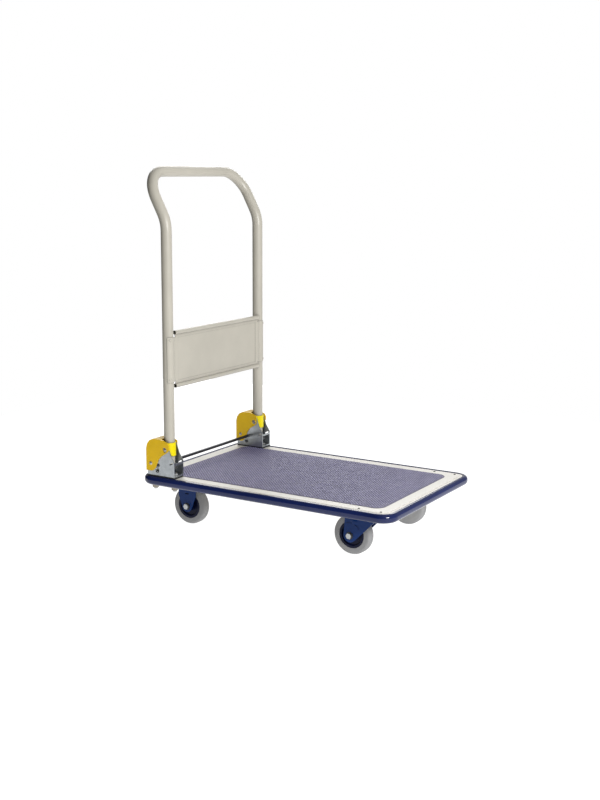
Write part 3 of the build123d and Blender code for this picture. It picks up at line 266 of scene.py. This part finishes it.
def mat_vinyl(name, colour):
    """Vinyl with raised bars: the bars are paler and the ground between them carries painted shade."""
    s = Shader(name)
    place = s.nodes.new("ShaderNodeSeparateXYZ")
    s.put(place.inputs[0], s.coords)
    top = (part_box("deck_mat")[1].z) - 0.0001
    high = s.span(place.outputs["Z"], 0, 1, top - 0.0011, top)
    grime = s.span(s.noise(16, 6, 0.7), 0.75, 1.0)
    tops = s.mix(s.span(s.noise(40, 5), 0, 1), scaled(colour, 0.95), scaled(colour, 1.07))
    # The ground between the bars is painted at a quarter to a third of the colour: painted shade in the
    # grooves.
    low = s.mix(s.span(s.noise(90, 4), 0, 1), scaled(colour, 0.25), scaled(colour, 0.36))
    shade = s.mix(s.math("MULTIPLY", high, grime), low, tops)
    normal = s.bump(s.noise(1600, 3), 0.2, 0.0002)
    s.set(Specular_IOR_Level=0.32)
    return s.out(shade, s.span(s.noise(50, 5), 0.46, 0.66), normal)


def spring_wire(name):
    s = Shader(name)
    shade = s.mix(s.noise(300, 3), (0.20, 0.20, 0.20), (0.42, 0.42, 0.42))
    s.set(Metallic=0.95)
    return s.out(shade, s.span(s.noise(200, 3), 0.25, 0.45), s.bump(s.noise(1500, 2), 0.1, 0.0002))


def floor_paper(name):
    """Glowing white paper, so that almost no shadow shows under the cart."""
    s = Shader(name)
    shade = s.mix(s.noise(3, 2), (0.245, 0.245, 0.245), (0.255, 0.255, 0.255))
    s.set(Emission_Color=(1, 1, 1, 1), Emission_Strength=0.94)
    return s.out(shade, s.span(s.noise(8, 3), 0.7, 0.85), s.bump(s.noise(900, 2), 0.05, 0.0003))


HANDLE_COLOUR = (0.475, 0.45, 0.385)
# Reach and limits of the handle's strong crease darkening: painted shade that brings out the panel's
# beads.
HANDLE_CREASE_SHADE = (0.010, 0.45, 0.97)
DECK_COLOUR = (0.74, 0.715, 0.655)
MATERIALS = {
    "deck_paint": painted("deck_enamel", DECK_COLOUR, 0.34, 0.08, 0.5),
    # The handle's creases take full-strength painted shade.
    "handle_paint": painted(
        "handle_powder_coat", HANDLE_COLOUR, 0.36, 0.07, 0.35, crease=1.0, creases=HANDLE_CREASE_SHADE, crease_tone=0.3
    ),
    "under_steel": painted("member_enamel", (0.52, 0.51, 0.47), 0.45, 0.12, 0.5),
    "mat": mat_vinyl("mat_vinyl", (0.290, 0.275, 0.450)),
    "bumper": gloss_vinyl("bumper_vinyl", (0.007, 0.014, 0.075), 0.10),
    "fork_paint": painted("fork_enamel", (0.004, 0.028, 0.135), 0.20, 0.04, 0.2, 0.16),
    "plated_steel": zinc("bolt_zinc", (0.52, 0.53, 0.53), 0.36, 0.3, False),
    "zinc_sheet": zinc("bracket_zinc", (0.46, 0.49, 0.51), 0.34, 0.6),
    "spring_steel": spring_wire("spring_wire"),
    "black_steel": zinc("dark_steel", (0.07, 0.072, 0.08), 0.36, 0.3),
    "cover_plastic": plastic("cover_plastic", (0.74, 0.47, 0.004), 0.30, 800, 0.04, 1.05, 0.2),
    "pad_rubber": tyre_rubber("pad_rubber", (0.010, 0.010, 0.011)),
    "hub_plastic": plastic("hub_nylon", (0.002, 0.004, 0.022), 0.30, 600, 0.04, 1.2, 0.15, 0.05),
    "tyre": tyre_rubber("tyre_rubber", (0.235, 0.235, 0.237)),
}
NUT_STEEL = zinc("nut_zinc", (0.34, 0.31, 0.26), 0.34, 0.3, False)
# Near-black rivet heads: painted shade for the dark dots the rivets make on the deck.
RIVET_NEAR_BLACK = plastic("rivet_near_black", (0.03, 0.028, 0.026), 0.5, 900, 0.1, 1.2, 0.2, 0.1)
# A paler, more lemon copy of the cover's yellow: painted light for the collars' fronts, which face the
# light.
COLLAR_LIT_PLASTIC = plastic("collar_lit_plastic", (0.84, 0.70, 0.005), 0.30, 800, 0.04, 1.03, 0.22)


# ------------------------------------------------------------------ carried CAD nodes
def dress(obj, material, bevel=0.0):
    """Gives a carried node its material, and softens its sharp edges."""
    obj.data.materials.clear()
    obj.data.materials.append(material)
    if bevel:
        weld = obj.modifiers.new("weld", "WELD")
        weld.merge_threshold = 0.00001
        soft = obj.modifiers.new("soft_edges", "BEVEL")
        soft.width = bevel
        soft.segments = 2
        soft.limit_method = "ANGLE"
        soft.angle_limit = math.radians(38)
        soft.harden_normals = False
        soft.use_clamp_overlap = True
    by_angle = obj.modifiers.new("weighted", "WEIGHTED_NORMAL")
    by_angle.keep_sharp = True


SOFT_EDGES = {
    "hinge_bracket_right": 0.0005,
    "hinge_bracket_left": 0.0005,
    "handle_panel": 0.0003,
    "rear_fork_right": 0.0006,
    "rear_fork_left": 0.0006,
    "front_fork_right": 0.0006,
    "front_fork_left": 0.0006,
}
for row in frame["record"]["subparts"]:
    node = NODES[row["node"]]
    dress(node, MATERIALS[row["material_slot"]], SOFT_EDGES.get(row["node"], 0.0))
# The collars take the lit copy of the cover's yellow: painted light.
NODES["handle_collars"].data.materials[0] = COLLAR_LIT_PLASTIC
# The deck rivets are drawn near-black as painted shade.
NODES["deck_rivets"].data.materials[0] = RIVET_NEAR_BLACK
NODES["bracket_nuts"].data.materials[0] = NUT_STEEL


# ------------------------------------------------------------------ new pieces
def new_object(name, mesh, material, body):
    obj = bpy.data.objects.new(name, mesh)
    scene.collection.objects.link(obj)
    obj.data.materials.append(material)
    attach(obj, body)
    return obj


def rounded_outline(half_x, half_y, radius, steps=10):
    points = []
    for cx, cy, start in ((1, 1, 0), (-1, 1, 90), (-1, -1, 180), (1, -1, 270)):
        for i in range(steps + 1):
            a = math.radians(start + 90 * i / steps)
            x = cx * (half_x - radius) + radius * math.cos(a)
            y = cy * (half_y - radius) + radius * math.sin(a)
            points.append((x, y))
    return points


MAT_CORNER = 25 * MM
MAT_ROLL = ((0.0, -0.5 * MM), (0.4 * MM, 0.0), (2.2 * MM, 0.0))
BAR_HEIGHT = 1.0 * MM
BAR_BORDER = 3.6 * MM
BAR_ROW_PITCH, BAR_PITCH = 6.2 * MM, 6.8 * MM
BAR_FOOT = (3.0 * MM, 1.9 * MM)
BAR_TOP = (2.1 * MM, 0.9 * MM)


def make_mat():
    """The vinyl mat: a thin slab with a rolled edge, covered with slanting rows of raised bars."""
    low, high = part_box("deck_mat")
    middle = (low + high) / 2
    half_x, half_y = (high.x - low.x) / 2, (high.y - low.y) / 2
    base_top = high.z - BAR_HEIGHT
    bm = bmesh.new()
    rings = []
    for inset, z in [(0.0, low.z)] + [(inset, base_top + drop) for inset, drop in MAT_ROLL]:
        outline = rounded_outline(half_x - inset, half_y - inset, MAT_CORNER - inset)
        rings.append([bm.verts.new((middle.x + x, middle.y + y, z)) for x, y in outline])
    for lower, upper in zip(rings, rings[1:]):
        for i in range(len(lower)):
            j = (i + 1) % len(lower)
            bm.faces.new((lower[i], lower[j], upper[j], upper[i]))
    bm.faces.new(rings[-1])
    bm.faces.new(list(reversed(rings[0])))
    along = Vector((1, -1)).normalized()
    across = Vector((1, 1)).normalized()
    reach = half_x + half_y
    rows = int(reach / BAR_ROW_PITCH) + 1
    columns = int(reach / BAR_PITCH) + 1
    reach_x, reach_y = half_x - BAR_BORDER, half_y - BAR_BORDER
    for row in range(-rows, rows + 1):
        shift = BAR_PITCH / 2 if row % 2 else 0.0
        for column in range(-columns, columns + 1):
            spot = across * row * BAR_ROW_PITCH + along * (column * BAR_PITCH + shift)
            if abs(spot.x) > reach_x or abs(spot.y) > reach_y:
                continue
            over_x = abs(spot.x) - (half_x - MAT_CORNER)
            over_y = abs(spot.y) - (half_y - MAT_CORNER)
            if over_x > 0 and over_y > 0 and math.hypot(over_x, over_y) > MAT_CORNER - BAR_BORDER:
                continue
            centre = Vector((middle.x, middle.y)) + spot
            add_bar(bm, centre, along, across, base_top, high.z)
    mesh = bpy.data.meshes.new("mat_top")
    bm.to_mesh(mesh)
    bm.free()
    mat = new_object("mat_top", mesh, MATERIALS["mat"], "platform")
    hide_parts("deck_mat")
    return mat


def add_bar(bm, spot, along, across, z_low, z_high):
    """One raised bar with sloping sides, longer along its row."""
    rings = []
    for (half_long, half_wide), z in ((BAR_FOOT, z_low), (BAR_TOP, z_high)):
        ring = []
        for a, b in ((1, 1), (-1, 1), (-1, -1), (1, -1)):
            point = spot + along * a * half_long + across * b * half_wide
            ring.append(bm.verts.new((point.x, point.y, z)))
        rings.append(ring)
    low, top = rings
    for i in range(4):
        j = (i + 1) % 4
        bm.faces.new((low[j], low[i], top[i], top[j]))
    bm.faces.new(list(reversed(top)))


make_mat()


# ------------------------------------------------------------------ floor, light and camera
FLOOR_HALF = 1.7


def make_flat_floor():
    bm = bmesh.new()
    signs = ((-1, -1), (1, -1), (1, 1), (-1, 1))
    bm.faces.new([bm.verts.new((x * FLOOR_HALF, y * FLOOR_HALF, 0.0)) for x, y in signs])
    mesh = bpy.data.meshes.new("floor")
    bm.to_mesh(mesh)
    bm.free()
    floor = bpy.data.objects.new("floor", mesh)
    scene.collection.objects.link(floor)
    floor.data.materials.append(floor_paper("floor_paper"))
    return floor


make_flat_floor()


def area_light(name, place, target, size, power, colour=(1, 1, 1)):
    data = bpy.data.lights.new(name, "AREA")
    data.shape = "RECTANGLE"
    data.size, data.size_y = size
    data.energy = power
    data.color = colour
    lamp = bpy.data.objects.new(name, data)
    lamp.location = place
    aim = Vector(target) - Vector(place)
    lamp.rotation_mode = "QUATERNION"
    lamp.rotation_quaternion = aim.to_track_quat("-Z", "Y")
    scene.collection.objects.link(lamp)
    return lamp


area_light("key", (2.75, -1.35, 1.45), (0, 0, 0.3), (0.85, 0.55), 95)
area_light("rim", (-1.45, 2.15, 1.95), (0, 0, 0.1), (2.6, 1.3), 50)
area_light("top", (0.9, 0.0, 3.2), (0, 0, 0.3), (2.0, 2.0), 5)


FLAG_WAY = Vector((-0.80, -0.60, 0.0))
FLAG_SPAN = (-0.15, 0.55, 0.35, 0.03)
GLOW_WAY = Vector((-0.50, 0.86, 0.10))
GLOW_SPAN = (0.70, 0.93, 0.0, 0.30)
SPAN_KEYS = ("From Min", "From Max", "To Min", "To Max")


def make_world():
    """A dim studio, darker towards the handle's near side, with a soft glow behind the cart.

    The camera sees plain white. FLAG_SPAN and GLOW_SPAN give the strength along each way.
    """
    world = bpy.data.worlds.new("studio")
    scene.world = world
    world.use_nodes = True
    tree = world.node_tree
    background = tree.nodes["Background"]
    coords = tree.nodes.new("ShaderNodeTexCoord")
    dot = tree.nodes.new("ShaderNodeVectorMath")
    dot.operation = "DOT_PRODUCT"
    dot.inputs[1].default_value = FLAG_WAY
    tree.links.new(coords.outputs["Generated"], dot.inputs[0])
    ramp = tree.nodes.new("ShaderNodeMapRange")
    for key, number in zip(SPAN_KEYS, FLAG_SPAN):
        ramp.inputs[key].default_value = number
    tree.links.new(dot.outputs["Value"], ramp.inputs["Value"])
    behind = tree.nodes.new("ShaderNodeVectorMath")
    behind.operation = "DOT_PRODUCT"
    behind.inputs[1].default_value = GLOW_WAY.normalized()
    tree.links.new(coords.outputs["Generated"], behind.inputs[0])
    glow = tree.nodes.new("ShaderNodeMapRange")
    for key, number in zip(SPAN_KEYS, GLOW_SPAN):
        glow.inputs[key].default_value = number
    tree.links.new(behind.outputs["Value"], glow.inputs["Value"])
    total = tree.nodes.new("ShaderNodeMath")
    tree.links.new(ramp.outputs["Result"], total.inputs[0])
    tree.links.new(glow.outputs["Result"], total.inputs[1])
    path = tree.nodes.new("ShaderNodeLightPath")
    choose = tree.nodes.new("ShaderNodeMix")
    choose.data_type = "FLOAT"
    tree.links.new(path.outputs["Is Camera Ray"], choose.inputs["Factor"])
    tree.links.new(total.outputs[0], choose.inputs[2])
    choose.inputs[3].default_value = 1.0
    tree.links.new(choose.outputs[0], background.inputs["Strength"])
    background.inputs["Color"].default_value = (1, 1, 1, 1)


make_world()


CAMERA_ANGLES = (31.15, 10.83, 0.29)
CAMERA_PLACE = (1.5779, -2.6440, 0.9239)
CAMERA_LENS, CAMERA_SENSOR = 54.2, 36.0


def make_camera():
    azimuth, elevation, roll = (math.radians(d) for d in CAMERA_ANGLES)
    back = Vector(
        (
            math.sin(azimuth) * math.cos(elevation),
            -math.cos(azimuth) * math.cos(elevation),
            math.sin(elevation),
        )
    )
    right = Vector((math.cos(azimuth), math.sin(azimuth), 0))
    up = back.cross(right)
    rolled_right = math.cos(roll) * right + math.sin(roll) * up
    rolled_up = -math.sin(roll) * right + math.cos(roll) * up
    data = bpy.data.cameras.new("camera")
    data.lens = CAMERA_LENS
    data.sensor_width = CAMERA_SENSOR
    data.clip_start, data.clip_end = 0.05, 60
    camera = bpy.data.objects.new("camera", data)
    turn = Matrix((rolled_right, rolled_up, back)).transposed().to_4x4()
    camera.matrix_world = Matrix.Translation(CAMERA_PLACE) @ turn
    scene.collection.objects.link(camera)
    scene.camera = camera


make_camera()
scene.view_settings.view_transform = "Standard"
